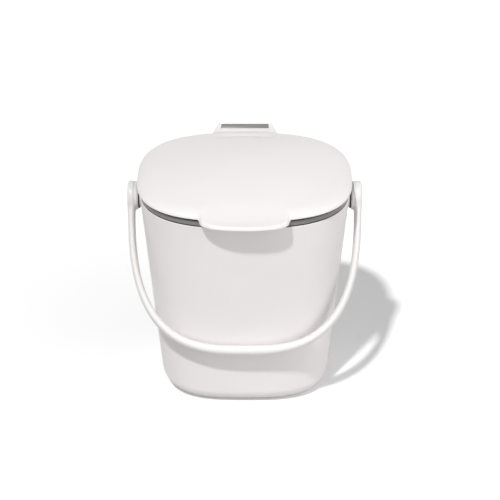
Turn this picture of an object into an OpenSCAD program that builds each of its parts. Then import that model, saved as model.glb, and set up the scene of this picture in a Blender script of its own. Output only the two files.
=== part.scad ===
// Compost caddy: a tapered bin with a rounded-square outline, a seal ring and a grey
// collar on its rim, a domed lid that turns on a pin at the back, and a swinging handle.
// The origin is the centre of the bin's underside. The front faces -Y and the lid opens
// from there. Units are millimetres.

/* [Bin] */
// Outside width of the bin at its rim
rim_w = 168; // [140:1:205]
// Outside depth of the bin at its rim
rim_d = 148; // [123:1:180]
// Outside width of the bin where its walls meet the floor
base_w = 138; // [112:1:166]
// Outside depth of the bin where its walls meet the floor
base_d = 131; // [106:1:158]
// Height of the bin's shell
bin_h = 169.5; // [139:0.5:205]
// Wall thickness of the bin
bin_wall = 2.4; // [1.8:0.1:3.2]
// Thickness of the bin's floor
floor_t = 2.8; // [2:0.1:5]
// Outside radius where the walls turn into the floor
base_edge_r = 13; // [8:0.5:17]
// Squareness of the outline at the rim, where 2 is an ellipse
rim_square = 2.7; // [2.3:0.05:3.4]
// Squareness of the outline at the floor
base_square = 3.2; // [2.4:0.05:4]

/* [Collar] */
// Thickness of the seal ring that lies on the bin's rim
gasket_t = 1; // [0.6:0.1:2]
// Height of the collar's band above the seal ring
collar_h = 3.7; // [3.4:0.1:9]
// Wall thickness of the collar's skirt
skirt_t = 2.4; // [1.6:0.1:3]
// How far the collar's skirt reaches down into the bin
skirt_h = 7.5; // [4:0.5:14]
// Clearance between the skirt and the bin's wall
skirt_gap = 0.3; // [0.2:0.05:0.6]
// Depth of the seat in the collar's top for the lid's seal
seat_depth = 1.6; // [1:0.1:2.4]
// Width of the collar's land outside that seat
land_w = 2.5; // [1.8:0.1:4]

/* [Lid] */
// How far the lid's edge stands out past the rim at the sides
lid_over_side = 1.8; // [0.8:0.1:3]
// How far the lid's edge stands out past the rim at the front and the back
lid_over_front = 1.5; // [0.4:0.1:3]
// Gap between the collar and the lid's edge
lid_gap = 2.2; // [0.5:0.1:2.6]
// Squareness of the lid's outline
lid_square = 2.75; // [2.4:0.05:3.4]
// How much rounder that outline gets on the way up the dome
lid_square_drop = 0.4; // [0:0.05:0.6]
// Height of the lid's rolled edge
lid_edge_h = 4; // [3:0.1:6]
// Rise of the lid's dome above its rolled edge
dome_h = 11; // [6:0.5:18]
// Wall thickness of the lid
lid_wall = 2; // [1.6:0.1:2.6]
// Thickness of the plate that lines the lid
liner_t = 1.4; // [1.2:0.1:2]
// Depth of the rim under that plate, which drops inside the collar
liner_drop = 6; // [4:0.5:9]
// Clearance between that rim and the collar
liner_gap = 0.9; // [0.6:0.1:1.5]
// Height that the lid's seal stays above its seat
seal_gap = 0.3; // [0.2:0.05:0.5]

/* [Front tab] */
// Width of the finger tab where it leaves the lid
tab_w = 69; // [40:0.5:90]
// How far the tab stands out in front of the lid
tab_reach = 12.6; // [6:0.2:16]
// Thickness of the tab
tab_t = 3; // [2.4:0.1:4]
// Height by which the tab hangs below the lid's edge
tab_drop = 1.5; // [0:0.1:1.6]
// Squareness of the tab's outline
tab_square = 2.4; // [2:0.1:5]

/* [Hinge] */
// Distance of the hinge pin behind the bin's rim
hinge_back = 12; // [9:0.5:14]
// Height of the hinge pin above the lid's edge
hinge_up = 1.1; // [0.6:0.1:2]
// Diameter of the hinge pin
pin_d = 3; // [2.5:0.1:4]
// Running clearance between the pin and the lid's ears
pin_gap = 0.08; // [0.04:0.01:0.1]
// Diameter of the knuckle on the collar
knuckle_d = 8.8; // [8:0.2:11]
// Length of the knuckle
knuckle_l = 40; // [24:1:50]
// Clearance between the knuckle and the lid
knuckle_gap = 0.45; // [0.35:0.05:0.7]
// Thickness of each ear of the lid
ear_t = 2.3; // [2:0.1:4]
// How much larger the ears are than the knuckle in radius
ear_over = 0.2; // [0:0.1:1.5]
// Width of the rear tab where it leaves the lid
rear_tab_w = 55; // [50:1:70]
// Thickness of the rear tab
rear_tab_t = 3; // [2.4:0.1:4]

/* [Handle] */
// Depth of the handle's pivots below the bin's rim
pivot_drop = 10.5; // [9.5:0.5:20]
// Gap between the bin's rim and the inside of the handle's arms
arm_gap = 4.2; // [4:0.1:10]
// Thickness of the arms
arm_t = 5.8; // [5:0.1:9]
// Width of the arms
arm_w = 15; // [12:0.5:18]
// Thickness of the grip
grip_t = 8.4; // [6.5:0.1:13]
// Width of the grip
grip_w = 14; // [11:0.5:18]
// Reach of the handle from its pivots to the outside of the grip
handle_reach = 129.4; // [120:0.2:160]
// Squareness of the handle's bow
handle_square = 2.9; // [2.3:0.05:3.6]
// Diameter of the round pads at the ends of the handle
pad_d = 24; // [20:0.2:25]
// Gap between the resting grip and the bin's wall
rest_gap = 0.4; // [0.3:0.1:1]

/* [Pivots] */
// Diameter of the pivot studs
stud_d = 12; // [9:0.5:13]
// Running clearance between a stud and the handle's bore
stud_gap = 0.08; // [0.04:0.01:0.1]
// Diameter of the round seats that carry the studs
boss_d = 18.6; // [15:0.2:18.8]
// How far a seat stands out from the bin's rim
boss_out = 0.6; // [0.5:0.1:1.2]
// Thickness of the pivot washers
washer_t = 0.7; // [0.6:0.1:1.2]
// Diameter of the pivot washers
washer_d = 20.4; // [16:0.2:21]
// Side clearance between a washer and the handle
side_gap = 0.25; // [0.25:0.05:0.5]
// Diameter of the pivot caps
cap_d = 17; // [15:0.5:18]
// Thickness of the pivot caps
cap_t = 1.4; // [1:0.1:2]
// Clearance around a cap in the handle's recess
cap_gap = 0.3; // [0.25:0.05:0.5]
// Diameter of the stem that holds a cap in its stud
stem_d = 5; // [4:0.2:6]
// Length of that stem
stem_l = 7; // [4:0.5:8]

/* [Hidden] */
$fn = 72;
outline_pts = 96;
section_pts = 16;
bow_steps = 48;
wall_steps = 6;
corner_step = 15;
// Small overlap that joins two solids, or carries a cut past a face
lap = 0.5;
// Clearance of the cap's stem in its hole, and of the pin in the knuckle
press_gap = 0.02;

white = [0.93, 0.925, 0.92];
grey = [0.56, 0.55, 0.55];
dark = [0.22, 0.22, 0.23];
steel = [0.78, 0.79, 0.8];

// Heights of the faces on which the pieces stack up
gasket_z = bin_h;
collar_z = gasket_z + gasket_t;
collar_top = collar_z + collar_h;
seat_z = collar_top - seat_depth;
lid_z = collar_top + lid_gap;
liner_step = 1.6;
liner_z = lid_z + liner_step - liner_t;
seal_z = seat_z + seal_gap;

// Half widths of the rounded-square outlines, as [x, y]
rim_half = [rim_w, rim_d] / 2;
base_half = [base_w, base_d] / 2;
lid_half = rim_half + [lid_over_side, lid_over_front];
skirt_half = half_at(bin_h - skirt_h) - [1, 1] * (bin_wall + skirt_gap);
mouth_half = skirt_half - [1, 1] * skirt_t;
seat_half = rim_half - [1, 1] * land_w;
liner_rim_half = mouth_half - [1, 1] * liner_gap;
// The lid's hollow is stepped, and its liner rests against the step
hollow_half = lid_half - [1, 1] * (lid_wall + 0.9);
liner_half = hollow_half - [1, 1] * 0.3;
dome_half = hollow_half - [1, 1] * 4.1;
edge_inset = 0.12;

// Height of the handle's pivot axis
pivot_z = bin_h - pivot_drop;

// The hinge axis, behind the rim and just above the lid's edge
hinge_y = rim_d / 2 + hinge_back;
hinge_z = lid_z + hinge_up;
ear_in = knuckle_l / 2 + 0.3;
ear_out = ear_in + ear_t;
ear_r = knuckle_d / 2 + ear_over;
rear_tab_z = hinge_z + 0.5;
rear_tab_y = hinge_y - knuckle_d / 2 - 0.4;

// Faces along the pivot axis, as distances from the middle of the bin
boss_x = rim_w / 2 + boss_out;
pad_in = boss_x + washer_t + side_gap;
arm_in = rim_w / 2 + arm_gap;
arm_out = arm_in + arm_t;
pad_over = 0.3;
pad_out = arm_out + pad_over;
cap_seat = pad_out - cap_t - 0.4;
recess_x = cap_seat - side_gap;
cap_rim = 0.6;

// The handle's middle line, and the lean at which its grip rests on the front wall
bow_half = [(arm_in + arm_out) / 2, handle_reach - grip_t / 2];
section_square = 2.4;
wall_slope = atan((rim_d - base_d) / 2 / bin_h);
wall_reach = (base_d / 2) * cos(wall_slope) + pivot_z * sin(wall_slope) + rest_gap;
rest_lean = lean(40, 12) - wall_slope;
handle_travel = 360 - 2 * rest_lean;
echo(rest_lean = rest_lean, handle_travel = handle_travel, hinge = [hinge_y, hinge_z]);

// Reach of the grip's section towards the wall when it stands at angle a to it
function section_reach(a) =
    let (q = section_square / (section_square - 1))
    pow(pow(grip_t / 2 * sin(a), q) + pow(grip_w / 2 * cos(a), q), 1 / q);
// The angle at which the grip just touches, found by repeating the same step
function lean(a, n) =
    n == 0 ? a : lean(asin((wall_reach + section_reach(a)) / bow_half.y), n - 1);

// The bin's outline at height z
function half_at(z) = base_half + (rim_half - base_half) * z / bin_h;
function square_at(z) = base_square + (rim_square - base_square) * z / bin_h;

// Distance from the middle to a rounded square of half size 1, at angle a
function reach_at(a, n) = pow(pow(abs(cos(a)), n) + pow(abs(sin(a)), n), -1 / n);
function outline(half, n) =
    [for (i = [0:outline_pts - 1]) let (a = 360 * i / outline_pts)
        [half.x * cos(a), half.y * sin(a)] * reach_at(a, n)];
function ring(half, n, z) = [for (p = outline(half, n)) [p.x, p.y, z]];

// Rings of the bin's outside or inside: the round edge first, then the wall up to top
function shell_rings(inset, bottom, r, top) = concat(
    [for (a = [0:corner_step:90]) let (z = bottom + r * (1 - cos(a)))
        ring(half_at(z) - [1, 1] * (inset + r * (1 - sin(a))), square_at(z), z)],
    [for (i = [1:wall_steps]) let (z = bottom + r + (top - bottom - r) * i / wall_steps)
        ring(half_at(z) - [1, 1] * inset, square_at(z), z)]);

// Squareness of the lid's outline, where t goes from 0 at the edge to 1 in the middle
function lid_square_at(t) =
    let (u = min(t / 0.2, 1)) lid_square - lid_square_drop * u * u * (3 - 2 * u);

// Height of the lid's outside above its edge, where t goes from 0 at the edge to 1
function dome_at(t) =
    lid_edge_h * sqrt(1 - pow(1 - min(t / edge_inset, 1), 2)) + dome_h * (1 - pow(1 - t, 2));
edge_stops = [for (a = [0:15:90]) edge_inset * (1 - cos(a))];
dome_stops = concat(edge_stops, [0.19, 0.3, 0.42, 0.56, 0.7, 0.84, 0.96]);
inner_stops = [0.16, 0.25, 0.36, 0.5, 0.66, 0.82, 0.96];

// A closed solid through a list of rings that have equally many points
module loft(rings) {
    m = len(rings[0]);
    last = len(rings) - 1;
    polyhedron(
        points = [for (r = rings) each r],
        faces = concat(
            [[for (i = [0:m - 1]) i]],
            [for (k = [0:last - 1], i = [0:m - 1]) let (j = (i + 1) % m)
                [k * m + i, (k + 1) * m + i, (k + 1) * m + j]],
            [for (k = [0:last - 1], i = [0:m - 1]) let (j = (i + 1) % m)
                [k * m + i, (k + 1) * m + j, k * m + j]],
            [[for (i = [m - 1:-1:0]) last * m + i]]));
}

// An upright block with a rounded-square outline
module block(half, n, z0, z1) {
    translate([0, 0, z0]) linear_extrude(z1 - z0) polygon(outline(half, n));
}

// A cylinder or cone along X between two distances, on the side given as -1 or 1
module along_x(side, x0, x1, r0, r1) {
    translate([side * x0, 0, 0]) rotate([0, side * 90, 0]) cylinder(h = x1 - x0, r1 = r0, r2 = r1);
}

module at_pivot() {
    translate([0, 0, pivot_z]) children();
}

module at_hinge() {
    translate([0, hinge_y, hinge_z]) children();
}

module hinge_rod(r, length) {
    at_hinge() rotate([0, 90, 0]) cylinder(h = length, r = r, center = true);
}

module bin_body() {
    inner_r = base_edge_r - bin_wall;
    // The bosses start inside the wall at their lower edge, where the bin is narrowest
    boss_root = half_at(pivot_z - boss_d / 2).x - bin_wall * 0.6;
    color(white) difference() {
        union() {
            loft(shell_rings(0, 0, base_edge_r, bin_h));
            at_pivot() for (side = [-1, 1]) {
                along_x(side, boss_root, boss_x, boss_d / 2, boss_d / 2);
                along_x(side, boss_x - lap, cap_seat, stud_d / 2, stud_d / 2);
            }
        }
        loft(shell_rings(bin_wall, floor_t, inner_r, bin_h + 1));
        at_pivot() for (side = [-1, 1])
            along_x(side, cap_seat - stem_l - lap, cap_seat + 1, stem_d / 2 + press_gap,
                stem_d / 2 + press_gap);
    }
}

module rim_gasket() {
    outer = rim_half - [1, 1] * 0.3;
    inner = skirt_half + [1, 1] * 0.3;
    color(dark) difference() {
        block(outer, rim_square, gasket_z, collar_z);
        block(inner, rim_square, gasket_z - 1, collar_z + 1);
    }
}

// The bracket's outline in the YZ plane, from the collar's back to under the knuckle
module bracket_side() {
    back = rim_d / 2;
    polygon([[back - 2, collar_z + 0.6], [back + 3, collar_z + 0.9], [hinge_y + 1.5, hinge_z - 4],
        [hinge_y + 3.4, hinge_z - 1.5], [hinge_y, hinge_z], [hinge_y - 3, hinge_z - 2],
        [back - 2, collar_top - 0.4]]);
}

module rim_collar() {
    color(grey) difference() {
        union() {
            difference() {
                union() {
                    block(rim_half, rim_square, collar_z, collar_top);
                    block(skirt_half, rim_square, gasket_z - skirt_h, collar_z + lap);
                }
                block(mouth_half, rim_square, gasket_z - skirt_h - 1, collar_top + 1);
                block(seat_half, rim_square, seat_z, collar_top + 1);
            }
            rotate([90, 0, 90]) translate([0, 0, 0.4 - knuckle_l / 2])
                linear_extrude(knuckle_l - 0.8) bracket_side();
            hinge_rod(knuckle_d / 2, knuckle_l);
        }
        hinge_rod(pin_d / 2 + press_gap, knuckle_l + 2);
    }
}

module front_tab() {
    root_y = 1 - lid_half.y;
    translate([0, root_y, 0])
        block([tab_w / 2, tab_reach + 1], tab_square, lid_z - tab_drop, lid_z - tab_drop + tab_t);
}

// Outline of the rear tab and its ears from above. It narrows from the lid's back to the
// far side of the ears along half a cosine wave.
function rear_edge(side) =
    [for (t = [0:0.1:1])
        [side * (ear_out + (rear_tab_w / 2 - ear_out) * (1 + cos(180 * t)) / 2),
            lid_half.y - 6 + (hinge_y + ear_r + 6 - lid_half.y) * t]];
module rear_plan(z0, z1) {
    right = rear_edge(1);
    left = rear_edge(-1);
    translate([0, 0, z0]) linear_extrude(z1 - z0)
        polygon(concat(right, [for (i = [len(left) - 1:-1:0]) left[i]]));
}

module rear_tab() {
    root_y = lid_half.y - 4;
    link_w = rear_tab_w / 2 - ear_in;
    link_z = hinge_z - 0.7;
    intersection() {
        rear_plan(rear_tab_z, rear_tab_z + rear_tab_t);
        translate([-rear_tab_w, 0, 0]) cube([2 * rear_tab_w, rear_tab_y, hinge_z + 10]);
    }
    intersection() {
        rear_plan(hinge_z - ear_r - 1, hinge_z + ear_r + 1);
        for (side = [-1, 1]) {
            at_hinge() along_x(side, ear_in, rear_tab_w / 2, ear_r, ear_r);
            translate([side * (ear_in + link_w / 2) - link_w / 2, root_y, link_z])
                cube([link_w, hinge_y - root_y, rear_tab_z + rear_tab_t - link_z]);
        }
    }
}

module lid_shell() {
    dome_floor = lid_z + liner_step;
    dome_t = 1 - dome_half.x / lid_half.x;
    color(white) difference() {
        union() {
            translate([0, 0, lid_z])
                loft([for (t = dome_stops) ring(lid_half * (1 - t), lid_square_at(t), dome_at(t))]);
            front_tab();
            rear_tab();
        }
        block(hollow_half, lid_square, lid_z - 3, dome_floor);
        loft(concat(
            [ring(dome_half, lid_square_at(dome_t), dome_floor - lap)],
            [for (t = concat([dome_t], inner_stops))
                ring(dome_half * (1 - t) / (1 - dome_t), lid_square_at(t),
                    lid_z + dome_at(t) - lid_wall)]));
        block(rim_half + [1, 1] * 0.8, rim_square, lid_z - 4, lid_z);
        hinge_rod(knuckle_d / 2 + knuckle_gap, 2 * ear_in);
        hinge_rod(pin_d / 2 + pin_gap, rear_tab_w + 2);
    }
}

module lid_liner() {
    rim_inner = liner_rim_half - [1, 1] * 2;
    color(grey) difference() {
        union() {
            block(liner_half, lid_square, liner_z, liner_z + liner_t);
            block(liner_rim_half, rim_square, liner_z - liner_drop, liner_z + lap);
        }
        block(rim_inner, rim_square, liner_z - liner_drop - 1, liner_z);
    }
}

module lid_seal() {
    outer = seat_half - [1, 1] * 0.3;
    inner = liner_rim_half + [1, 1] * 0.15;
    color(dark) difference() {
        block(outer, rim_square, seal_z, liner_z);
        block(inner, rim_square, seal_z - 1, liner_z + 1);
    }
}

module hinge_pin() {
    color(steel) hinge_rod(pin_d / 2, 2 * ear_out - 0.4);
}

// The handle's middle line hanging straight down, where a goes from 0 to 180 degrees
function bow(a) = [-bow_half.x * cos(a), 0, -bow_half.y * sin(a)] * reach_at(a, handle_square);
function unit(v) = v / norm(v);
function bow_ring(a) =
    let (along = unit(bow(a + 0.5) - bow(a - 0.5)),
        out = cross([0, 1, 0], along),
        blend = pow(sin(a), 4),
        t = arm_t + (grip_t - arm_t) * blend,
        w = arm_w + (grip_w - arm_w) * blend)
    [for (i = [0:section_pts - 1]) let (b = 360 * i / section_pts)
        bow(a) + (out * t / 2 * cos(b) + [0, w / 2 * sin(b), 0]) * reach_at(b, section_square)];

module handle() {
    color(white) at_pivot() rotate([-rest_lean, 0, 0]) difference() {
        union() {
            loft([for (i = [0:bow_steps]) bow_ring(180 * i / bow_steps)]);
            for (side = [-1, 1]) {
                along_x(side, arm_in - pad_over, pad_out, pad_d / 2, pad_d / 2);
                along_x(side, pad_in, pad_in + 1.2, pad_d / 2 - 1.7, pad_d / 2 - 0.2);
                along_x(side, pad_in + 1.2, arm_in, pad_d / 2 - 0.2, pad_d / 2);
            }
        }
        for (side = [-1, 1]) {
            along_x(side, pad_in - 1, pad_out + 1, stud_d / 2 + stud_gap, stud_d / 2 + stud_gap);
            along_x(side, recess_x, pad_out + 1, cap_d / 2 + cap_gap, cap_d / 2 + cap_gap);
        }
    }
}

module pivot_washer(side) {
    color(dark) at_pivot() difference() {
        along_x(side, boss_x, boss_x + washer_t, washer_d / 2, washer_d / 2);
        along_x(side, boss_x - 1, boss_x + washer_t + 1, stud_d / 2 + 0.1, stud_d / 2 + 0.1);
    }
}

// A cap closes the handle's recess, and its stem is pressed into the stud
module pivot_cap(side) {
    color(white) at_pivot() {
        along_x(side, cap_seat - stem_l, cap_seat + lap, stem_d / 2, stem_d / 2);
        along_x(side, cap_seat, cap_seat + cap_t - cap_rim, cap_d / 2, cap_d / 2);
        along_x(side, cap_seat + cap_t - cap_rim, cap_seat + cap_t, cap_d / 2, cap_d / 2 - cap_rim);
    }
}

bin_body();
rim_gasket();
rim_collar();
lid_shell();
lid_liner();
lid_seal();
hinge_pin();
handle();
pivot_washer(-1);  // pivot_washer_left
pivot_washer(1);  // pivot_washer_right
pivot_cap(-1);  // pivot_cap_left
pivot_cap(1);  // pivot_cap_right
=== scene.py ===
import math

import bmesh
import bpy
import numpy as np
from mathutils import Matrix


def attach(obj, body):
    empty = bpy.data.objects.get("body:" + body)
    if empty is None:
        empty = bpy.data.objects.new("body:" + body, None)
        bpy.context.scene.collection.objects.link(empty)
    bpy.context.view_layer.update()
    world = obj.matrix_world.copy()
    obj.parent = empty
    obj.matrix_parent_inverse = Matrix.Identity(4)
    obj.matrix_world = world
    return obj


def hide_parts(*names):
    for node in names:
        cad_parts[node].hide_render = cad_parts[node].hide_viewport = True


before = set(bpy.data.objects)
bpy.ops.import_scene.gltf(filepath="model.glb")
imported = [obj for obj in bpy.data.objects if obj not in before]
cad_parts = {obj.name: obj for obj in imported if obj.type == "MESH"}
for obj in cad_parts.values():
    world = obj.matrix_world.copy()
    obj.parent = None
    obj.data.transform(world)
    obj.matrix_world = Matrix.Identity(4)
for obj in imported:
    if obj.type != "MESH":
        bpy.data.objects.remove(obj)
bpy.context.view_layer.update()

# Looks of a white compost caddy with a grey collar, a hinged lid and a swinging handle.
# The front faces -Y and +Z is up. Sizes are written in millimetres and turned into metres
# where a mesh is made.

MM = 0.001

# Bin: half width and half depth, heights, wall and the squareness of its outline
RIM_HALF = (84.0, 74.0)
BASE_HALF = (69.0, 65.5)
BIN_H, BIN_WALL, FLOOR_T, BASE_EDGE_R = 169.5, 2.4, 2.8, 13.0
RIM_SQUARE, BASE_SQUARE = 2.7, 3.2
BASE_RECESS, FOOT_SHARE = 0.9, 0.86

# Gasket and collar: heights, and how far their sides lie inside the rim's outline
GASKET_Z, COLLAR_Z, COLLAR_TOP, SEAT_Z, SKIRT_Z = 169.5, 170.5, 174.2, 172.6, 162.0
GASKET_OUTSIDE, GASKET_INSIDE = 0.3, 3.06
SEAT_OUTSIDE, SKIRT_OUTSIDE, SKIRT_INSIDE = 2.5, 3.36, 5.76

# Lid, its liner and its seal
LID_Z, LID_HALF, LID_SQUARE, LID_SQUARE_DROP = 176.4, (85.8, 75.5), 2.75, 0.4
EDGE_H, EDGE_INSET, DOME_H, LID_TOP, LID_WALL = 4.0, 0.12, 11.0, 14.98, 2.0
HOLLOW_Z, HOLLOW_IN = 178.0, 2.9
LINER_HALF, LINER_Z, LINER_T, LINER_DROP = (82.6, 72.3), 176.6, 1.4, 6.0
LINER_RIM_OUTSIDE, LINER_RIM_INSIDE, LINER_FIELD = 4.96, 6.96, 9.5
SEAL_TOP, SEAL_WAIST, SEAL_Z = 176.6, 174.4, 172.95

# Finger tab, rear tab and hinge
TAB_HALF, TAB_REACH, TAB_SQUARE, TAB_Z, TAB_TOP = 34.5, 12.6, 2.4, 174.9, 177.9
TAB_CORNER, REAR_CORNER = 0.7, 0.5
FRONT_LIP, REAR_LIP, FRONT_JOINT, REAR_JOINT = 2.6, 1.1, 0.26, 0.12
HINGE_Y, HINGE_Z, PIN_R, KNUCKLE_R, KNUCKLE_L = 86.0, 177.5, 1.5, 4.4, 40.0
EAR_IN, EAR_OUT, EAR_R = 20.3, 22.6, 4.6
REAR_TAB_HALF, REAR_TAB_Z, REAR_TAB_TOP, REAR_TAB_Y = 27.5, 178.0, 181.0, 81.2
VALLEY = 0.35

# Pivots and handle
PIVOT_Z = 159.0
BOSS_R, BOSS_X, STUD_R, CAP_SEAT, STEM_R = 9.3, 84.6, 6.0, 92.5, 2.5
STUD_ROOT, STEM_HOLE_R, STEM_HOLE_X, STEM_END = 81.9, 2.55, 85.2, 85.5
WASHER_R, WASHER_T = 10.2, 0.7
PAD_IN, ARM_IN, PAD_OUT, RECESS_X, PAD_R = 85.55, 88.2, 94.3, 92.25, 12.0
BORE_R, RECESS_R, CAP_R, CAP_T, CAP_DISH = 6.08, 8.8, 8.5, 1.4, 0.1
ARM_T, ARM_W, GRIP_T, GRIP_W, PAD_T = 5.8, 15.0, 8.4, 14.0, 6.4
BOW_HALF, BOW_REACH, BOW_SQUARE, SECTION_SQUARE, PAD_SQUARE = 91.1, 125.2, 2.9, 2.4, 4.8
REST_LEAN = math.radians(36.8826)
PAD_END_ANGLE = math.radians(14)

# Mesh steps
POINTS_ROUND_BIN, POINTS_ROUND_RING, POINTS_ROUND_AXLE, POINTS_ROUND_PIN = 320, 288, 96, 48
STEPS_ALONG_BOW, POINTS_ROUND_BOW = 232, 56

# Camera: place in metres, tilt and the lens for a 36 mm wide picture
CAMERA_PLACE, CAMERA_TILT = (0.00427, -1.0739, 0.7282), math.radians(60)
PICTURE_WIDTH, FOCAL_LENGTH = 36.0, 108.288

# Key light: strength, slope of its rays in X and Y, and its softness
KEY, KEY_FROM, KEY_ANGLE = 2.03, (-0.27, -0.53), math.radians(3.5)
# Broad soft light: strength, and the direction that it comes from
FILLS = ((1.4, (0.87, -0.5, 0.1)), (0.44, (0.5, -0.87, 0.1)), (0.68, (-1.0, 0, 0.1)),
         (0.16, (0.2, 0.98, 0.05)))
# Floor: half its side in metres, colour to the camera, colour to the object, and glow
FLOOR_HALF, FLOOR_SHADE, FLOOR_BOUNCE, FLOOR_LIFT = 6.0, 0.98, 0.52, 0.115


# ---------------------------------------------------------------- nodes from expressions

class Value:
    """A socket of a node tree. Sums and products of it add Math nodes."""

    def __init__(self, tree, socket):
        self.tree = tree
        self.socket = socket

    def math(self, operation, *others):
        return self.tree.node("ShaderNodeMath", {"operation": operation}, [self, *others])

    def __add__(self, other):
        return self.math("ADD", other)

    def __sub__(self, other):
        return self.math("SUBTRACT", other)

    def __mul__(self, other):
        return self.math("MULTIPLY", other)

    def __truediv__(self, other):
        return self.math("DIVIDE", other)

    def __pow__(self, other):
        return self.math("POWER", other)

    def __neg__(self):
        return self.math("MULTIPLY", -1.0)

    def __abs__(self):
        return self.math("ABSOLUTE")

    def __rsub__(self, other):
        return self.tree.node("ShaderNodeMath", {"operation": "SUBTRACT"}, [other, self])

    def __rtruediv__(self, other):
        return self.tree.node("ShaderNodeMath", {"operation": "DIVIDE"}, [other, self])

    __radd__ = __add__
    __rmul__ = __mul__

    def at_least(self, other):
        return self.math("MAXIMUM", other)

    def at_most(self, other):
        return self.math("MINIMUM", other)

    def smooth(self, low, high):
        """Goes softly from 0 at low to 1 at high."""
        return self.tree.node("ShaderNodeMapRange", {"interpolation_type": "SMOOTHSTEP"},
                              {"Value": self, "From Min": low, "From Max": high})


class Tree:
    """A node tree. Its settings come before the values and links of a node's sockets."""

    def __init__(self, nodes):
        self.tree = nodes

    def put(self, socket, value):
        if isinstance(value, Value):
            self.tree.links.new(value.socket, socket)
        elif value is not None:
            socket.default_value = value

    def node(self, kind, settings=None, inputs=(), out=0):
        made = self.tree.nodes.new(kind)
        for name, value in (settings or {}).items():
            setattr(made, name, value)
        pairs = inputs.items() if isinstance(inputs, dict) else enumerate(inputs)
        for key, value in pairs:
            self.put(made.inputs[key], value)
        return Value(self, made.outputs[out]) if len(made.outputs) else made


# ---------------------------------------------------------------- geometry nodes

def new_group(name, inputs):
    """A geometry tree that takes a mesh and the named inputs and gives a mesh."""
    group = bpy.data.node_groups.new(name, "GeometryNodeTree")
    group.interface.new_socket("Geometry", in_out="INPUT", socket_type="NodeSocketGeometry")
    for label, kind in inputs:
        group.interface.new_socket(label, in_out="INPUT", socket_type="NodeSocket" + kind)
    group.interface.new_socket("Geometry", in_out="OUTPUT", socket_type="NodeSocketGeometry")
    tree = Tree(group)
    source = group.nodes.new("NodeGroupInput")
    return tree, {s.name: Value(tree, s) for s in source.outputs if s.name}


def close_group(tree, grid, position, material):
    """Moves the grid's points, closes its seams and poles, and sets its finish."""
    moved = tree.node("GeometryNodeSetPosition", None, {"Geometry": grid, "Position": position})
    merged = tree.node("GeometryNodeMergeByDistance", None,
                       {"Geometry": moved, "Distance": 0.004 * MM})
    smooth = tree.node("GeometryNodeSetShadeSmooth", None, {"Geometry": merged})
    real = tree.node("GeometryNodeRealizeInstances", None, {"Geometry": smooth})
    done = tree.node("GeometryNodeSetMaterial", None, {"Geometry": real, "Material": material})
    tree.node("NodeGroupOutput", None, {"Geometry": done})
    return tree.tree


def reach_at(cosine, sine, square):
    """Distance from the middle to a rounded square of half size 1."""
    return (abs(cosine) ** square + abs(sine) ** square) ** (-1.0 / square)


def loft_group():
    """Carries a profile round a rounded square that widens from the floor to the rim.

    A profile point's X is its distance out from the outline, its Y the share of the
    outline's half size that it keeps, and its Z the height.
    """
    tree, given = new_group("rounded_square_loft", [
        ("Points around", "Int"), ("Height", "Float"), ("Half width low", "Float"),
        ("Half depth low", "Float"), ("Half width high", "Float"),
        ("Half depth high", "Float"), ("Squareness low", "Float"),
        ("Squareness high", "Float"), ("Finish", "Material")])
    count = tree.node("GeometryNodeAttributeDomainSize", {"component": "MESH"},
                      {"Geometry": given["Geometry"]})
    around = given["Points around"]
    grid = tree.node("GeometryNodeMeshGrid", None,
                     {"Size X": 1.0, "Size Y": 1.0, "Vertices X": around + 1.0,
                      "Vertices Y": count})
    index = tree.node("GeometryNodeInputIndex")
    column = ((index + 0.5) / count).math("FLOOR")
    station = index - column * count
    angle = column * (2 * math.pi) / around
    point = tree.node("GeometryNodeSampleIndex", {"data_type": "FLOAT_VECTOR"},
                      {"Geometry": given["Geometry"],
                       "Value": tree.node("GeometryNodeInputPosition"),
                       "Index": station + 0.1})
    axes = [tree.node("ShaderNodeSeparateXYZ", None, [point], out=i) for i in range(3)]
    out, share, height = axes
    rise = height / given["Height"]

    def widened(label):
        return given[label + " low"] + (given[label + " high"] - given[label + " low"]) * rise

    cosine, sine = angle.math("COSINE"), angle.math("SINE")
    reach = reach_at(cosine, sine, widened("Squareness"))
    x = (widened("Half width") * share + out) * cosine * reach
    y = (widened("Half depth") * share + out) * sine * reach
    position = tree.node("ShaderNodeCombineXYZ", None, [x, y, height])
    return close_group(tree, grid, position, given["Finish"])


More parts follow.
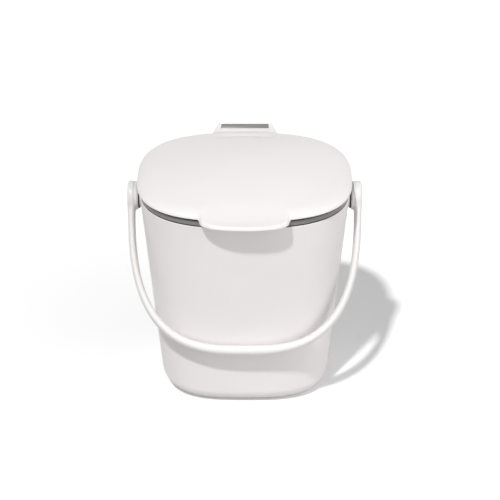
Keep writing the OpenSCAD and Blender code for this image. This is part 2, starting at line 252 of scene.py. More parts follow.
def bow_group():
    """The handle: a strap along half a rounded square, with a round pad at each end."""
    sizes = ["Half width", "Reach", "Bow squareness", "Arm thickness", "Arm width",
             "Grip thickness", "Grip width", "Section squareness", "Pad radius",
             "Pad thickness", "Pad squareness", "Lean", "Pivot height"]
    tree, given = new_group("handle_bow", [("Steps along", "Int"), ("Points around", "Int")]
                            + [(s, "Float") for s in sizes] + [("Finish", "Material")])
    steps, around = given["Steps along"], given["Points around"]
    grid = tree.node("GeometryNodeMeshGrid", None,
                     {"Size X": 1.0, "Size Y": 1.0, "Vertices X": steps + 1.0,
                      "Vertices Y": around + 1.0})
    index = tree.node("GeometryNodeInputIndex")
    row = ((index + 0.5) / (around + 1.0)).math("FLOOR")
    turn = (index - row * (around + 1.0)) * (2 * math.pi) / around
    along = row / steps * (math.pi + 2 * PAD_END_ANGLE) - PAD_END_ANGLE
    angle = along.at_least(0.0).at_most(math.pi)
    past = ((-along).at_least(0.0) + (along - math.pi).at_least(0.0)) / PAD_END_ANGLE

    def bow_line(a):
        cosine, sine = a.math("COSINE"), a.math("SINE")
        reach = reach_at(cosine, sine, given["Bow squareness"])
        return -given["Half width"] * cosine * reach, -given["Reach"] * sine * reach

    x, hang = bow_line(angle)
    x1, z1 = bow_line(angle + 0.01)
    x0, z0 = bow_line(angle - 0.01)
    run_x, run_z = x1 - x0, z1 - z0
    run = (run_x * run_x + run_z * run_z).math("SQRT")
    out_x, out_z = run_z / run, -run_x / run
    radius = given["Pad radius"]
    depth = hang + radius * (past * (math.pi / 2)).math("SINE")

    grip_share = angle.math("SINE") ** 4.0
    arm_w = given["Arm width"] + (given["Grip width"] - given["Arm width"]) * grip_share
    arm_t = (given["Arm thickness"]
             + (given["Grip thickness"] - given["Arm thickness"]) * grip_share)
    pad_w = 2.0 * (radius * radius - depth * depth).at_least(0.0).math("SQRT")
    arm_w = arm_w * (1.0 - depth / (8 * MM)).at_least(0.0).at_most(1.0)
    blend = 4 * MM * (-depth / (3 * MM)).at_least(0.0).at_most(1.0)
    apart = pad_w - arm_w
    width = (pad_w + arm_w + (apart * apart + blend * blend).math("SQRT")) * 0.5
    padness = (depth / radius).smooth(-1.25, -0.6)
    rim = (1.0 - (depth / radius).at_least(0.0).at_most(1.0) ** 5.5).at_least(0.0) ** 0.33
    thick = (arm_t + (given["Pad thickness"] - arm_t) * padness) * rim
    square = (given["Section squareness"]
              + (given["Pad squareness"] - given["Section squareness"]) * padness)

    cosine, sine = turn.math("COSINE"), turn.math("SINE")
    reach = reach_at(cosine, sine, square)
    off = thick * 0.5 * cosine * reach
    side = width * 0.5 * sine * reach
    px, py, pz = x + out_x * off, side, depth + out_z * off
    lean_c, lean_s = given["Lean"].math("COSINE"), given["Lean"].math("SINE")
    position = tree.node("ShaderNodeCombineXYZ", None, [
        px, py * lean_c + pz * lean_s, pz * lean_c - py * lean_s + given["Pivot height"]])
    return close_group(tree, grid, position, given["Finish"])


def run_group(group, name, points, values, finish):
    """Runs a geometry tree on a line of points and gives its result as a plain object."""
    mesh = bpy.data.meshes.new(name + "_line")
    mesh.from_pydata(points, [(i, i + 1) for i in range(len(points) - 1)], [])
    obj = bpy.data.objects.new(name, mesh)
    bpy.context.scene.collection.objects.link(obj)
    modifier = obj.modifiers.new("shape", "NODES")
    modifier.node_group = group
    values = {**values, "Finish": finish}
    for item in group.interface.items_tree:
        if item.item_type == "SOCKET" and item.in_out == "INPUT" and item.name in values:
            modifier[item.identifier] = values[item.name]
    bpy.context.view_layer.update()
    whole = obj.evaluated_get(bpy.context.evaluated_depsgraph_get())
    result = bpy.data.meshes.new_from_object(whole)
    obj.modifiers.remove(modifier)
    obj.data = result
    outward(obj)
    return obj


# ---------------------------------------------------------------- plain meshes

def outward(obj, sharp=35.0):
    """Merges what coincides, turns the faces outwards and keeps the real edges crisp."""
    shape = bmesh.new()
    shape.from_mesh(obj.data)
    bmesh.ops.remove_doubles(shape, verts=shape.verts, dist=0.003 * MM)
    bmesh.ops.dissolve_degenerate(shape, edges=shape.edges, dist=0.001 * MM)
    bmesh.ops.recalc_face_normals(shape, faces=shape.faces)
    for face in shape.faces:
        face.smooth = True
    shape.to_mesh(obj.data)
    shape.free()
    obj.data.set_sharp_from_angle(angle=math.radians(sharp))
    return obj


def make(name, points, faces, finish, sharp=35.0):
    mesh = bpy.data.meshes.new(name)
    mesh.from_pydata([tuple(MM * c for c in p) for p in points], [], faces)
    mesh.materials.append(finish)
    obj = bpy.data.objects.new(name, mesh)
    bpy.context.scene.collection.objects.link(obj)
    return outward(obj, sharp)


def skin(rings, closed):
    """Points and faces of a surface through rings that are closed round themselves."""
    rings = np.asarray(rings, float)
    rows, cols = rings.shape[:2]
    faces = []
    for k in range(rows if closed else rows - 1):
        below, above = k * cols, (k + 1) % rows * cols
        for i in range(cols):
            j = (i + 1) % cols
            faces.append((below + i, below + j, above + j, above + i))
    return rings.reshape(-1, 3).tolist(), faces


def prism_faces(count):
    """Faces between an outline of count points and a second one that follows it."""
    faces = [tuple(range(count)), tuple(range(2 * count - 1, count - 1, -1))]
    faces += [(i, i + count, (i + 1) % count + count, (i + 1) % count) for i in range(count)]
    return faces


def turned(profile, side=1, centre=(0.0, PIVOT_Z), segments=POINTS_ROUND_AXLE):
    """Rings of a part turned round an axis along X. The profile is a list of (x, radius)."""
    angles = np.linspace(0, 2 * math.pi, segments, endpoint=False)
    return [[(side * x, centre[0] + r * math.cos(a), centre[1] + r * math.sin(a))
             for a in angles] for x, r in profile]


def rounded(corners, closed=False, steps=5, guard=0.25):
    """A line through corners (x, y, radius) with its corners rounded.

    A guard point on each side of a rounding keeps the flats' shading flat.
    """
    line = []
    count = len(corners)
    for k, (x, y, radius) in enumerate(corners):
        here = np.array([x, y], float)
        if radius == 0 or (not closed and k in (0, count - 1)):
            line.append(here)
            continue
        before = np.array(corners[k - 1][:2], float) - here
        after = np.array(corners[(k + 1) % count][:2], float) - here
        len_b, len_a = np.linalg.norm(before), np.linalg.norm(after)
        before, after = before / len_b, after / len_a
        half = math.acos(max(-1.0, min(1.0, float(before @ after)))) / 2
        back = min(radius / math.tan(half), 0.48 * len_b, 0.48 * len_a)
        radius = back * math.tan(half)
        inwards = (before + after) / np.linalg.norm(before + after)
        middle = here + inwards * radius / math.sin(half)
        start, end = here + before * back, here + after * back
        line.append(here + before * min(back + guard, 0.5 * len_b))
        a0, a1 = [math.atan2(*(p - middle)[::-1]) for p in (start, end)]
        sweep = (a1 - a0 + math.pi) % (2 * math.pi) - math.pi
        for s in range(steps + 1):
            a = a0 + sweep * s / steps
            line.append(middle + radius * np.array([math.cos(a), math.sin(a)]))
        line.append(here + after * min(back + guard, 0.5 * len_a))
    return line


def join(name, *objects):
    """Makes one object of several that are made of the same finish."""
    first = objects[0]
    shape = bmesh.new()
    for obj in objects:
        shape.from_mesh(obj.data)
    shape.to_mesh(first.data)
    shape.free()
    for obj in objects[1:]:
        bpy.data.objects.remove(obj)
    first.name = name
    return first


def combine(obj, other, operation, sharp=35.0):
    """Unites obj with other, or cuts other out of it."""
    modifier = obj.modifiers.new("combine", "BOOLEAN")
    modifier.operation = operation
    modifier.solver = "EXACT"
    modifier.object = other
    bpy.context.view_layer.update()
    whole = obj.evaluated_get(bpy.context.evaluated_depsgraph_get())
    result = bpy.data.meshes.new_from_object(whole)
    obj.modifiers.remove(modifier)
    obj.data = result
    bpy.data.objects.remove(other)
    return outward(obj, sharp)


def bevelled(obj, width, segments=3, angle=40.0):
    """Rounds the sharp edges of obj."""
    modifier = obj.modifiers.new("edges", "BEVEL")
    modifier.width = width * MM
    modifier.segments = segments
    modifier.limit_method = "ANGLE"
    modifier.angle_limit = math.radians(angle)
    bpy.context.view_layer.update()
    whole = obj.evaluated_get(bpy.context.evaluated_depsgraph_get())
    result = bpy.data.meshes.new_from_object(whole)
    obj.modifiers.remove(modifier)
    obj.data = result
    return outward(obj)


def finish_piece(obj, body, slot, *nodes):
    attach(obj, body)
    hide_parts(*nodes)
    return obj


# ---------------------------------------------------------------- finishes

def plastic(name, colour, rough, grain, spec=0.5, tint=0.012):
    """Moulded plastic: a faint cloud in the colour, a fine grain and uneven gloss."""
    material = bpy.data.materials.new(name)
    material.use_nodes = True
    material.diffuse_color = (*colour, 1.0)
    material.node_tree.nodes.clear()
    tree = Tree(material.node_tree)
    place = tree.node("ShaderNodeTexCoord", out="Object")

    def noise(scale, detail, roughness=0.5):
        return tree.node("ShaderNodeTexNoise", None,
                         {"Vector": place, "Scale": scale, "Detail": detail,
                          "Roughness": roughness})

    cloud, smudge, fine = noise(14.0, 2.0), noise(60.0, 3.0, 0.6), noise(1500.0, 2.0)
    shade = tuple(c * (1 - tint) for c in colour)
    light = tuple(min(c * (1 + tint), 1.0) for c in colour)
    base = tree.node("ShaderNodeMix", {"data_type": "RGBA"},
                     {0: cloud.smooth(0.3, 0.7), 6: (*shade, 1), 7: (*light, 1)}, out=2)
    gloss = rough + (smudge - 0.5) * 0.10 + (fine - 0.5) * 0.05
    bump = tree.node("ShaderNodeBump", None,
                     {"Strength": grain, "Distance": 0.02 * MM, "Height": fine})
    skin_shader = tree.node("ShaderNodeBsdfPrincipled", None,
                            {"Base Color": base, "Roughness": gloss, "Normal": bump,
                             "Specular IOR Level": spec})
    tree.node("ShaderNodeOutputMaterial", None, {"Surface": skin_shader})
    return material


def rubber(name, colour):
    return plastic(name, colour, 0.62, 0.5, 0.35, 0.05)


def steel(name):
    """A drawn steel pin, with faint lines round it."""
    material = bpy.data.materials.new(name)
    material.use_nodes = True
    material.node_tree.nodes.clear()
    tree = Tree(material.node_tree)
    place = tree.node("ShaderNodeTexCoord", out="Object")
    stretched = tree.node("ShaderNodeMapping", None, {"Vector": place, "Scale": (40, 900, 900)})
    lines = tree.node("ShaderNodeTexNoise", None,
                      {"Vector": stretched, "Scale": 1.0, "Detail": 3.0})
    colour = tree.node("ShaderNodeMix", {"data_type": "RGBA"},
                       {0: lines, 6: (0.52, 0.53, 0.54, 1), 7: (0.68, 0.69, 0.70, 1)}, out=2)
    shader = tree.node("ShaderNodeBsdfPrincipled", None,
                       {"Base Color": colour, "Metallic": 1.0,
                        "Roughness": 0.26 + lines * 0.12})
    tree.node("ShaderNodeOutputMaterial", None, {"Surface": shader})
    return material


WHITE_SHELL = plastic("white_shell_plastic", (0.868, 0.838, 0.836), 0.42, 0.10, 0.3)
WHITE_HANDLE = plastic("white_handle_plastic", (0.815, 0.803, 0.787), 0.36, 0.08, 0.35)
GREY_TRIM = plastic("grey_trim_plastic", (0.218, 0.213, 0.208), 0.41, 0.15, 0.5, 0.03)
# This rubber's near-black is partly its own colour and partly painted shade: it gives the gasket
# and the pivot washers the tone of the shaded slots under the collar and beside the handle's
# pads.
DARK_SEAL_AND_SHADE = rubber("seal_rubber_painted_shade", (0.022, 0.021, 0.021))
PIN_STEEL = steel("pin_steel")


# ---------------------------------------------------------------- bin

LOFT = loft_group()


def loft(name, points, finish, half=RIM_HALF, square=RIM_SQUARE):
    """A ring or a plate that follows one rounded square."""
    return run_group(LOFT, name, points, {
        "Points around": POINTS_ROUND_RING, "Height": 1.0,
        "Half width low": half[0] * MM, "Half depth low": half[1] * MM,
        "Half width high": half[0] * MM, "Half depth high": half[1] * MM,
        "Squareness low": square, "Squareness high": square}, finish)


def line_points(line, share=1.0):
    return [(x * MM, share, z * MM) for x, z in line]


def ring_points(corners):
    """The closed profile of a ring, with its last point on its first."""
    line = rounded(corners, closed=True, steps=4, guard=0.12)
    return line_points([*line, line[0]])


def bin_profile():
    """From the middle of the underside out, up the wall, over the rim and back in."""
    foot = FOOT_SHARE
    points = [(-BASE_EDGE_R * s * MM, s, BASE_RECESS * MM)
              for s in (0, 0.25, 0.5, 0.7, 0.82, 0.855)]
    points += [(-BASE_EDGE_R * s * MM, s, z * MM)
               for s, z in ((foot, 0.86), (foot + 0.006, 0.6), (foot + 0.012, 0.25),
                            (foot + 0.02, 0.04), (foot + 0.03, 0), (0.97, 0))]
    for k in range(0, 19):
        a = math.radians(5 * k)
        points.append((-BASE_EDGE_R * (1 - math.sin(a)) * MM, 1,
                       BASE_EDGE_R * (1 - math.cos(a)) * MM))
    points += [(0, 1, z * MM) for z in np.linspace(14, BIN_H - 1.4, 34)]
    rim = rounded([(0, BIN_H - 1.2, 0), (0, BIN_H, 0.5), (-BIN_WALL, BIN_H, 0.5),
                   (-BIN_WALL, BIN_H - 1.2, 0)], steps=4, guard=0.15)
    points += line_points(rim)
    inner_r = BASE_EDGE_R - BIN_WALL
    points += [(-BIN_WALL * MM, 1, z * MM)
               for z in np.linspace(BIN_H - 1.4, FLOOR_T + inner_r + 0.6, 30)]
    for k in range(18, -1, -1):
        a = math.radians(5 * k)
        points.append((-(BIN_WALL + inner_r * (1 - math.sin(a))) * MM, 1,
                       (FLOOR_T + inner_r * (1 - math.cos(a))) * MM))
    edge = BIN_WALL + inner_r
    points += [(-edge * s * MM, s, FLOOR_T * MM) for s in (0.97, 0.8, 0.6, 0.4, 0.2, 0)]
    return points


def make_bin():
    """The tapered shell, and the stud of each pivot with the boss that it stands on."""
    shell = run_group(LOFT, "bin_shell", bin_profile(), {
        "Points around": POINTS_ROUND_BIN, "Height": BIN_H * MM,
        "Half width low": BASE_HALF[0] * MM, "Half depth low": BASE_HALF[1] * MM,
        "Half width high": RIM_HALF[0] * MM, "Half depth high": RIM_HALF[1] * MM,
        "Squareness low": BASE_SQUARE, "Squareness high": RIM_SQUARE}, WHITE_SHELL)
    finish_piece(shell, "bin", "white_shell", "bin_body")
    studs = []
    for side in (-1, 1):
        line = rounded([(STUD_ROOT, 0, 0), (STUD_ROOT, BOSS_R, 0), (BOSS_X, BOSS_R, 0.35),
                        (BOSS_X, STUD_R, 0.2), (CAP_SEAT, STUD_R, 0.4),
                        (CAP_SEAT, STEM_HOLE_R, 0.2), (STEM_HOLE_X, STEM_HOLE_R, 0),
                        (STEM_HOLE_X, 0, 0)], steps=3, guard=0.12)
        points, faces = skin(turned(line, side), False)
        studs.append(make("stud", points, faces, WHITE_SHELL))
    finish_piece(join("pivot_studs", *studs), "bin", "white_shell", "bin_body")


def make_collar():
    """The thin gasket, the grey collar on it and the collar's hinge knuckle."""
    # The gasket is real rubber, and its near-black line under the collar is also painted shade
    # standing in for the shadow gap between collar and bin.
    gasket = loft("rim_gasket_ring", ring_points([
        (-GASKET_OUTSIDE, GASKET_Z, 0.3), (-GASKET_OUTSIDE, COLLAR_Z, 0.3),
        (-GASKET_INSIDE, COLLAR_Z, 0.2), (-GASKET_INSIDE, GASKET_Z, 0.2)]), DARK_SEAL_AND_SHADE)
    finish_piece(gasket, "bin", "dark_seal", "rim_gasket")
    band = loft("collar_band", ring_points([
        (0, COLLAR_Z, 0.45), (0, COLLAR_TOP, 0.6), (-SEAT_OUTSIDE, COLLAR_TOP, 0.35),
        (-SEAT_OUTSIDE, SEAT_Z, 0.25), (-SKIRT_INSIDE, SEAT_Z, 0.5),
        (-SKIRT_INSIDE, SKIRT_Z, 0.8), (-SKIRT_OUTSIDE, SKIRT_Z, 0.8),
        (-SKIRT_OUTSIDE, COLLAR_Z, 0.15)]), GREY_TRIM)
    back = RIM_HALF[1]
    start = math.atan2(-4.0, 1.5)
    arc = [(HINGE_Y + KNUCKLE_R * math.cos(a), HINGE_Z + KNUCKLE_R * math.sin(a))
           for a in np.linspace(start, start + math.radians(262), 40)]
    outline = [*arc, (HINGE_Y - 5.2, COLLAR_TOP + 0.6), (back - 1.6, COLLAR_TOP - 0.5),
               (back - 1.6, COLLAR_Z + 0.7), (back + 3, COLLAR_Z + 0.9)]
    half = KNUCKLE_L / 2
    points = [(x, y, z) for x in (-half, half) for y, z in outline]
    bracket = make("hinge_knuckle", points, prism_faces(len(outline)), GREY_TRIM)
    bracket = bevelled(bracket, 0.35)
    finish_piece(band, "bin", "grey_trim", "rim_collar")
    finish_piece(bracket, "bin", "grey_trim", "rim_collar")


def make_hinge_and_pivots():
    """The pin of the lid, and the washer and the cap of each pivot."""
    end = EAR_OUT - 0.2
    line = rounded([(-end, 0, 0), (-end, PIN_R, 0.3), (end, PIN_R, 0.3), (end, 0, 0)], steps=4)
    points, faces = skin(turned(line, 1, (HINGE_Y, HINGE_Z), POINTS_ROUND_PIN), False)
    finish_piece(make("lid_hinge_pin", points, faces, PIN_STEEL), "bin", "pin_steel", "hinge_pin")
    for side, word in ((-1, "left"), (1, "right")):
        line = rounded([(BOSS_X, STUD_R + 0.1, 0.15), (BOSS_X, WASHER_R, 0.3),
                        (BOSS_X + WASHER_T, WASHER_R, 0.3),
                        (BOSS_X + WASHER_T, STUD_R + 0.1, 0.15)], closed=True, steps=4)
        points, faces = skin(turned(line, side), True)
        # Each washer is a real spacer, and its near-black colour also paints the shade of the
        # narrow slot between the handle's pad and the boss.
        washer = make("pivot_washer_ring_" + word, points, faces, DARK_SEAL_AND_SHADE)
        finish_piece(washer, "bin", "dark_seal", "pivot_washer_" + word)
        top = CAP_SEAT + CAP_T
        line = rounded([(STEM_END, 0, 0), (STEM_END, STEM_R, 0.4), (CAP_SEAT, STEM_R, 0.2),
                        (CAP_SEAT, CAP_R, 0.15), (top, CAP_R, 0.5), (top, CAP_R * 0.62, 0),
                        (top - CAP_DISH, CAP_R * 0.55, 0), (top - CAP_DISH, 0, 0)],
                       steps=5, guard=0.12)
        points, faces = skin(turned(line, side), False)
        cap = make("pivot_cap_disc_" + word, points, faces, WHITE_HANDLE)
        finish_piece(cap, "bin", "white_handle", "pivot_cap_" + word)


# ---------------------------------------------------------------- handle

def make_handle():
    """The bow with a hub on the inside of each pad, bored for the stud and the cap."""
    handle = run_group(bow_group(), "handle_strap", [(0, 0, 0), (1, 0, 0)], {
        "Steps along": STEPS_ALONG_BOW, "Points around": POINTS_ROUND_BOW,
        "Half width": BOW_HALF * MM, "Reach": BOW_REACH * MM, "Bow squareness": BOW_SQUARE,
        "Arm thickness": ARM_T * MM, "Arm width": ARM_W * MM,
        "Grip thickness": GRIP_T * MM, "Grip width": GRIP_W * MM,
        "Section squareness": SECTION_SQUARE, "Pad radius": PAD_R * MM,
        "Pad thickness": PAD_T * MM, "Pad squareness": PAD_SQUARE, "Lean": REST_LEAN,
        "Pivot height": PIVOT_Z * MM}, WHITE_HANDLE)
    hubs, cutters = [], []
    for side in (-1, 1):
        line = rounded([(PAD_IN, 0, 0), (PAD_IN, PAD_R - 1.8, 0.5),
                        (PAD_IN + 1.2, PAD_R - 0.6, 1.2), (ARM_IN + 1.4, PAD_R - 0.45, 0),
                        (ARM_IN + 1.5, PAD_R - 2.5, 0),
                        (ARM_IN + 1.5, 0, 0)], steps=4, guard=0.1)
        points, faces = skin(turned(line, side), False)
        hubs.append(make("hub", points, faces, WHITE_HANDLE))
        line = [(PAD_IN - 2, 0), (PAD_IN - 2, BORE_R + 0.5), (PAD_IN - 0.01, BORE_R + 0.5),
                (PAD_IN + 0.35, BORE_R), (RECESS_X, BORE_R), (RECESS_X, RECESS_R),
                (PAD_OUT - 0.5, RECESS_R), (PAD_OUT - 0.3, RECESS_R + 0.05),
                (PAD_OUT - 0.1, RECESS_R + 0.2), (PAD_OUT + 0.05, RECESS_R + 0.5),
                (PAD_OUT + 2, RECESS_R + 0.5), (PAD_OUT + 2, 0)]
        points, faces = skin(turned(line, side), False)
        cutters.append(make("cutter", points, faces, WHITE_HANDLE))
    combine(handle, join("hubs", *hubs), "UNION")
    combine(handle, join("cutters", *cutters), "DIFFERENCE")
    finish_piece(handle, "handle", "white_handle", "handle")


# ---------------------------------------------------------------- lid

def softened(values, step, width):
    """Blurs a row of values that stand step apart, so that its corners turn softly."""
    reach = int(4 * width / step)
    weights = np.exp(-0.5 * (np.arange(-reach, reach + 1) * step / width) ** 2)
    padded = np.pad(values, reach, mode="edge")
    return np.convolve(padded, weights / weights.sum(), mode="valid")


def smooth_step(value, low, high):
    share = np.clip((value - low) / (high - low), 0, 1)
    return share * share * (3 - 2 * share)


def lid_edge_y(x):
    """Half depth of the lid's outline at a distance x from its middle."""
    left = np.maximum(1 - np.abs(x / LID_HALF[0]) ** LID_SQUARE, 0)
    return LID_HALF[1] * left ** (1 / LID_SQUARE)


STEP = 0.05
ACROSS = np.arange(-60, 60 + STEP, STEP)


def front_reach():
    """How far the finger tab stands out of the lid's edge, for each place across it."""
    root = LID_HALF[1] - 1
    share = np.maximum(1 - np.abs(ACROSS / TAB_HALF) ** TAB_SQUARE, 0) ** (1 / TAB_SQUARE)
    edge = np.where(np.abs(ACROSS) < TAB_HALF, root + (TAB_REACH + 1) * share, 0)
    return softened(np.maximum(edge - lid_edge_y(ACROSS), 0), STEP, TAB_CORNER)


def flare_at(y):
    """Half width of the rear tab at a distance behind the middle."""
    first, last = LID_HALF[1] - 6, HINGE_Y + EAR_R
    share = np.clip((y - first) / (last - first), 0, 1)
    return EAR_OUT + (REAR_TAB_HALF - EAR_OUT) * (1 + np.cos(math.pi * share)) / 2


def rear_reach():
    """How far the rear tab stands out of the lid's edge, for each place across it."""
    behind = np.arange(60, REAR_TAB_Y, STEP)
    widths = flare_at(behind)
    edge = np.array([behind[widths > abs(x)].max() if (widths > abs(x)).any() else 0
                     for x in ACROSS])
    return softened(np.maximum(edge - lid_edge_y(ACROSS), 0), STEP, REAR_CORNER)


def squareness_at(share):
    """The lid's outline gets rounder towards the middle of the lid."""
    return LID_SQUARE - LID_SQUARE_DROP * smooth_step(share, 0, 0.2)


def share_at(x, y):
    """Share of the way from the lid's edge to its middle, below 0 outside the edge."""
    share = np.zeros_like(x)
    for _ in range(8):
        n = squareness_at(share)
        share = 1 - (np.abs(x / LID_HALF[0]) ** n + np.abs(y / LID_HALF[1]) ** n) ** (1 / n)
    return share


def dome_at(share, up=1.0):
    """Height of the lid's outside, where up is 0 at the foot of its rolled edge and then 1."""
    return np.minimum(LID_Z + 0.5 * (1 - up) + EDGE_H * up + DOME_H * (1 - (1 - share) ** 2),
                      LID_Z + LID_TOP)


def slide(share, low, high):
    """A smooth slope between two (share, height, steepness), level below the first."""
    (s0, z0, k0), (s1, z1, k1) = low, high
    u = np.clip((share - s0) / (s1 - s0), 0, 1)
    return (z0 * (2 * u ** 3 - 3 * u ** 2 + 1) + z1 * (3 * u ** 2 - 2 * u ** 3)
            + (s1 - s0) * (k0 * (u ** 3 - 2 * u ** 2 + u) + k1 * (u ** 3 - u ** 2)))


def on_dome(share):
    """The dome's share, height and steepness at a place, for slide."""
    return share, float(dome_at(share)), 2 * DOME_H * (1 - share)


def front_height(share, up):
    """Height of the finger tab's top, which runs on from the dome to the lip."""
    lip = (FRONT_LIP - TAB_REACH) / LID_HALF[1]
    top = slide(share, (lip, TAB_TOP, 5.0), on_dome(FRONT_JOINT))
    return TAB_Z + 0.5 + (top - TAB_Z - 0.5) * up


def rear_height(share, up):
    """Height of the rear tab's top, which lies level behind a soft valley."""
    top = slide(share, (0.0, REAR_TAB_TOP - VALLEY, 0.0), on_dome(REAR_JOINT))
    top = top + VALLEY * smooth_step(-share, 0.005, 0.045)
    return REAR_TAB_Z + 0.5 + (top - REAR_TAB_Z - 0.5) * up


def lid_angles():
    """Angles round the lid, closer together at the two tabs."""
    ratio = np.arange(-44, 44.01, 0.5) / LID_HALF[0]
    near = np.arctan(ratio / (1 - np.abs(ratio) ** LID_SQUARE) ** (1 / LID_SQUARE))
    gap = near[-1]
    sides = np.linspace(gap, math.pi - gap, 80)[1:-1]
    back, front = math.pi / 2, 3 * math.pi / 2
    return np.concatenate([near + back, sides + back, near + front, sides + front])


def lid_rings():
    """Rings of the lid, from the middle of its hollow out, over the edge and up the dome."""
    angle = lid_angles()
    cosine, sine = np.cos(angle), np.sin(angle)

    def ring(share=0.0, inset=0.0, far=0.0, z=LID_Z):
        n = squareness_at(share)
        reach = (np.abs(cosine) ** n + np.abs(sine) ** n) ** (-1 / n) * (1 - share)
        x = (LID_HALF[0] - inset) * cosine * reach
        y = (LID_HALF[1] - inset) * sine * reach + far * out
        return np.stack([x, y, np.broadcast_to(z, x.shape)], 1)

    out = np.zeros_like(angle)
    across = ring()[:, 0]
    ahead = np.where(sine < 0, np.interp(across, ACROSS, front_reach()), 0)
    behind = np.where(sine > 0, np.interp(across, ACROSS, rear_reach()), 0)
    out = behind - ahead
    front = smooth_step(ahead, 0, 6)
    rear = smooth_step(behind, 0, 3)
    front_wide = np.where(sine < 0, smooth_step(-np.abs(across), -48, -22), 0)
    rear_wide = np.where(sine > 0, smooth_step(-np.abs(across), -34, -21), 0)

    def mixed(plain, at_front, at_rear, share=0.0):
        """Mixes three forms round the lid. A share of 1 gives the tabs their wide roots."""
        f = front + (front_wide - front) * share
        r = rear + (rear_wide - rear) * share
        shape = (-1,) + (1,) * (np.ndim(plain) - 1)
        f, r = f.reshape(shape), r.reshape(shape)
        return plain * (1 - f) * (1 - r) + at_front * f + at_rear * r

    def on_top(place, up, share=0.0):
        """Lays a ring on the lid's outside."""
        s = share_at(place[:, 0], place[:, 1])
        place[:, 2] = mixed(dome_at(s, up), front_height(s, up), rear_height(s, up), share)
        return place

    rings = [ring(s, 7.0, 0, dome_at(s * 0.92 + 0.08) - LID_WALL)
             for s in (1.0, 0.7, 0.45, 0.25, 0.12, 0.02)]
    rings += [ring(0, 7.0, 0, HOLLOW_Z), ring(0, HOLLOW_IN + 0.1, 0, HOLLOW_Z),
              ring(0, HOLLOW_IN, 0, HOLLOW_Z - 0.1), ring(0, HOLLOW_IN, 0, LID_Z + 0.45)]
    rings += [ring(0, HOLLOW_IN - 0.3 * (1 - math.cos(a)), 0, LID_Z + 0.3 * (1 - math.sin(a)))
              for a in np.radians((0, 30, 60, 90))]
    under = LID_Z - (LID_Z - TAB_Z) * front + (REAR_TAB_Z - LID_Z) * rear
    rings += [ring(0, 1.0, 0, LID_Z), ring(0, 0.85, 0.0, LID_Z * 0.8 + under * 0.2),
              ring(0, 0.75, 0.0, under), ring(0, 0.7, 0.5, under), ring(0, 0.65, 0.95, under)]
    rings += [ring(0, 0.5 * (1 - math.sin(a)), 1, under + 0.5 * (1 - math.cos(a)))
              for a in np.radians((0, 22, 45, 67, 90))]

    edge, front_goal, rear_goal = ring(0, 0, 1), ring(FRONT_JOINT), ring(REAR_JOINT)

    def towards(goal, distance):
        way = goal - edge
        way[:, 2] = 0
        return edge + way * (distance / np.linalg.norm(way, axis=1))[:, None]

    for a in np.radians(np.arange(8, 91, 8.2)):
        away, up = 1 - math.cos(a), math.sin(a)
        place = mixed(ring(EDGE_INSET * away, 0, 1), towards(front_goal, FRONT_LIP * away),
                      towards(rear_goal, REAR_LIP * away))
        rings.append(on_top(place, up))
    front_low, rear_low = towards(front_goal, FRONT_LIP), towards(rear_goal, REAR_LIP)
    steps = 26
    for k in range(1, steps + 1):
        t = k / steps
        place = mixed(ring(EDGE_INSET + (FRONT_JOINT - EDGE_INSET) * t, 0,
                           1 - float(smooth_step(t, 0, 0.5))),
                      front_low + (front_goal - front_low) * t,
                      rear_low + (front_goal - rear_low) * t)
        rings.append(on_top(place, 1.0, float(smooth_step(t, 0, 0.6))))
    rings += [ring(s, 0, 0, dome_at(s))
              for s in (0.285, 0.32, 0.37, 0.42, 0.48, 0.55, 0.62, 0.7, 0.78, 0.86, 0.93,
                        0.975, 1.0)]
    return rings


def make_ear(side):
    """One of the two ears that hold the lid's pin, flared towards the lid."""
    arc = [(HINGE_Y + EAR_R * math.cos(a), HINGE_Z + EAR_R * math.sin(a))
           for a in np.radians(np.linspace(118, -172, 44))]
    root = LID_HALF[1] - 2.0
    outline = [(root, REAR_TAB_TOP - 0.3), (root + 2, REAR_TAB_TOP - 0.05),
               (HINGE_Y - 4.6, REAR_TAB_TOP + 0.1), (HINGE_Y - 3.2, REAR_TAB_TOP + 0.35), *arc,
               (HINGE_Y - 5.6, HINGE_Z - 0.7), (root, HINGE_Z - 0.7)]
    points = [(side * EAR_IN, y, z) for y, z in outline]
    points += [(side * float(flare_at(np.array(y))), y, z) for y, z in outline]
    ear = bevelled(make("ear", points, prism_faces(len(outline)), WHITE_SHELL), 0.45)
    hole = rounded([(EAR_IN - 2, 0, 0), (EAR_IN - 2, PIN_R + 0.08, 0),
                    (REAR_TAB_HALF + 2, PIN_R + 0.08, 0), (REAR_TAB_HALF + 2, 0, 0)])
    points, faces = skin(turned(hole, side, (HINGE_Y, HINGE_Z), POINTS_ROUND_PIN), False)
    return combine(ear, make("hole", points, faces, WHITE_SHELL), "DIFFERENCE")


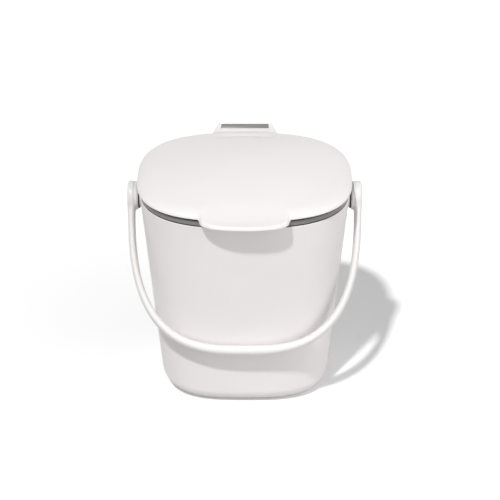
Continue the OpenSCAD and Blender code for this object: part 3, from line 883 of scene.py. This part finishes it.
def make_lid():
    """The domed shell with its two ears, the liner plate and the seal under it."""
    points, faces = skin(lid_rings(), False)
    shell = make("lid_dome", points, faces, WHITE_SHELL, sharp=50)
    for side in (-1, 1):
        combine(shell, make_ear(side), "UNION", sharp=50)
    finish_piece(shell, "lid", "white_shell", "lid_shell")
    low, top = LINER_Z - LINER_DROP, LINER_Z + LINER_T
    plate = [(0, 0, top * MM), (0, 0.3, top * MM), (0, 0.6, top * MM), (0, 0.85, top * MM),
             (0, 0.97, top * MM)]
    plate += line_points(rounded([
        (-2, top, 0), (0, top, 0.3), (0, LINER_Z, 0.3), (-LINER_RIM_OUTSIDE, LINER_Z, 0.3),
        (-LINER_RIM_OUTSIDE, low, 0.7), (-LINER_RIM_INSIDE, low, 0.7),
        (-LINER_RIM_INSIDE, LINER_Z, 1.2), (-LINER_FIELD, LINER_Z, 0)],
        steps=4, guard=0.15))
    plate += [(-LINER_FIELD * s * MM, s, z * MM) for s, z in (
        (0.97, LINER_Z), (0.95, LINER_Z), (0.945, LINER_Z + 0.1), (0.94, LINER_Z + 0.3),
        (0.935, LINER_Z + 0.4), (0.92, LINER_Z + 0.4), (0.75, LINER_Z + 0.4),
        (0.5, LINER_Z + 0.4), (0.25, LINER_Z + 0.4), (0, LINER_Z + 0.4))]
    liner = loft("lid_liner_plate", plate, GREY_TRIM, LINER_HALF, RIM_SQUARE)
    finish_piece(liner, "lid", "grey_trim", "lid_liner")
    seal = loft("lid_seal_ring", ring_points([
        (-2.8, SEAL_TOP, 0.2), (-2.8, SEAL_WAIST, 0.4), (-3.2, SEAL_Z, 0.3),
        (-4.1, SEAL_Z, 0.3), (-4.5, SEAL_WAIST + 0.2, 0.4), (-5.0, SEAL_Z, 0.3),
        (-5.9, SEAL_Z, 0.3), (-6.2, SEAL_WAIST, 0.4), (-6.2, SEAL_TOP, 0.2)]), DARK_SEAL_AND_SHADE)
    finish_piece(seal, "lid", "dark_seal", "lid_seal")


# ---------------------------------------------------------------- room, light and camera

def make_floor():
    """A pale floor that shows the camera one colour and gives the object's sides another."""
    size = FLOOR_HALF
    mesh = bpy.data.meshes.new("floor")
    mesh.from_pydata([(-size, -size, 0), (size, -size, 0), (size, size, 0), (-size, size, 0)],
                     [], [(0, 1, 2, 3)])
    floor = bpy.data.objects.new("floor", mesh)
    bpy.context.scene.collection.objects.link(floor)
    material = bpy.data.materials.new("pale_floor")
    material.use_nodes = True
    material.node_tree.nodes.clear()
    tree = Tree(material.node_tree)
    shade = tree.node("ShaderNodeMix", {"data_type": "RGBA"}, {
        0: seen(tree), 6: (*[FLOOR_BOUNCE] * 3, 1), 7: (*[FLOOR_SHADE] * 3, 1)}, out=2)
    matte = tree.node("ShaderNodeBsdfDiffuse", None, {"Color": shade})
    glow = tree.node("ShaderNodeEmission", None,
                     {"Color": (1, 1, 1, 1), "Strength": seen(tree) * FLOOR_LIFT})
    both = tree.node("ShaderNodeAddShader", None, [matte, glow])
    tree.node("ShaderNodeOutputMaterial", None, {"Surface": both})
    mesh.materials.append(material)


def seen(tree):
    """1 where the camera looks, straight or by a mirror or glass, and 0 elsewhere."""
    path = [tree.node("ShaderNodeLightPath", out=name)
            for name in ("Is Camera Ray", "Is Glossy Ray", "Is Transmission Ray")]
    return path[0].at_least(path[1]).at_least(path[2])


def make_world():
    """White where the camera looks, and broad soft light on everything else."""
    world = bpy.data.worlds.new("white_room")
    bpy.context.scene.world = world
    world.use_nodes = True
    world.node_tree.nodes.clear()
    tree = Tree(world.node_tree)
    way = tree.node("ShaderNodeTexCoord", out="Generated")
    axes = [tree.node("ShaderNodeSeparateXYZ", None, [way], out=i) for i in range(3)]
    fill = 0.0
    for strength, direction in FILLS:
        facing = sum(axis * part for axis, part in zip(axes, direction))
        fill = facing.at_least(0.0) ** 2.0 * strength + fill
    level = fill + (1.0 - fill) * seen(tree)
    light = tree.node("ShaderNodeBackground", None, {"Color": (1, 1, 1, 1), "Strength": level})
    tree.node("ShaderNodeOutputWorld", None, {"Surface": light})


def make_light():
    sun = bpy.data.lights.new("key", "SUN")
    sun.energy = KEY
    sun.angle = KEY_ANGLE
    lamp = bpy.data.objects.new("key", sun)
    bpy.context.scene.collection.objects.link(lamp)
    lamp.rotation_euler = (math.atan(math.hypot(*KEY_FROM)), 0,
                           math.atan2(KEY_FROM[0], -KEY_FROM[1]))


def make_camera():
    data = bpy.data.cameras.new("camera")
    data.sensor_width = PICTURE_WIDTH
    data.lens = FOCAL_LENGTH
    camera = bpy.data.objects.new("camera", data)
    camera.location = CAMERA_PLACE
    camera.rotation_euler = (CAMERA_TILT, 0, 0)
    bpy.context.scene.collection.objects.link(camera)
    bpy.context.scene.camera = camera


bpy.context.scene.view_settings.view_transform = "Standard"
make_camera()
make_world()
make_light()
make_floor()
make_bin()
make_collar()
make_hinge_and_pivots()
make_handle()
make_lid()
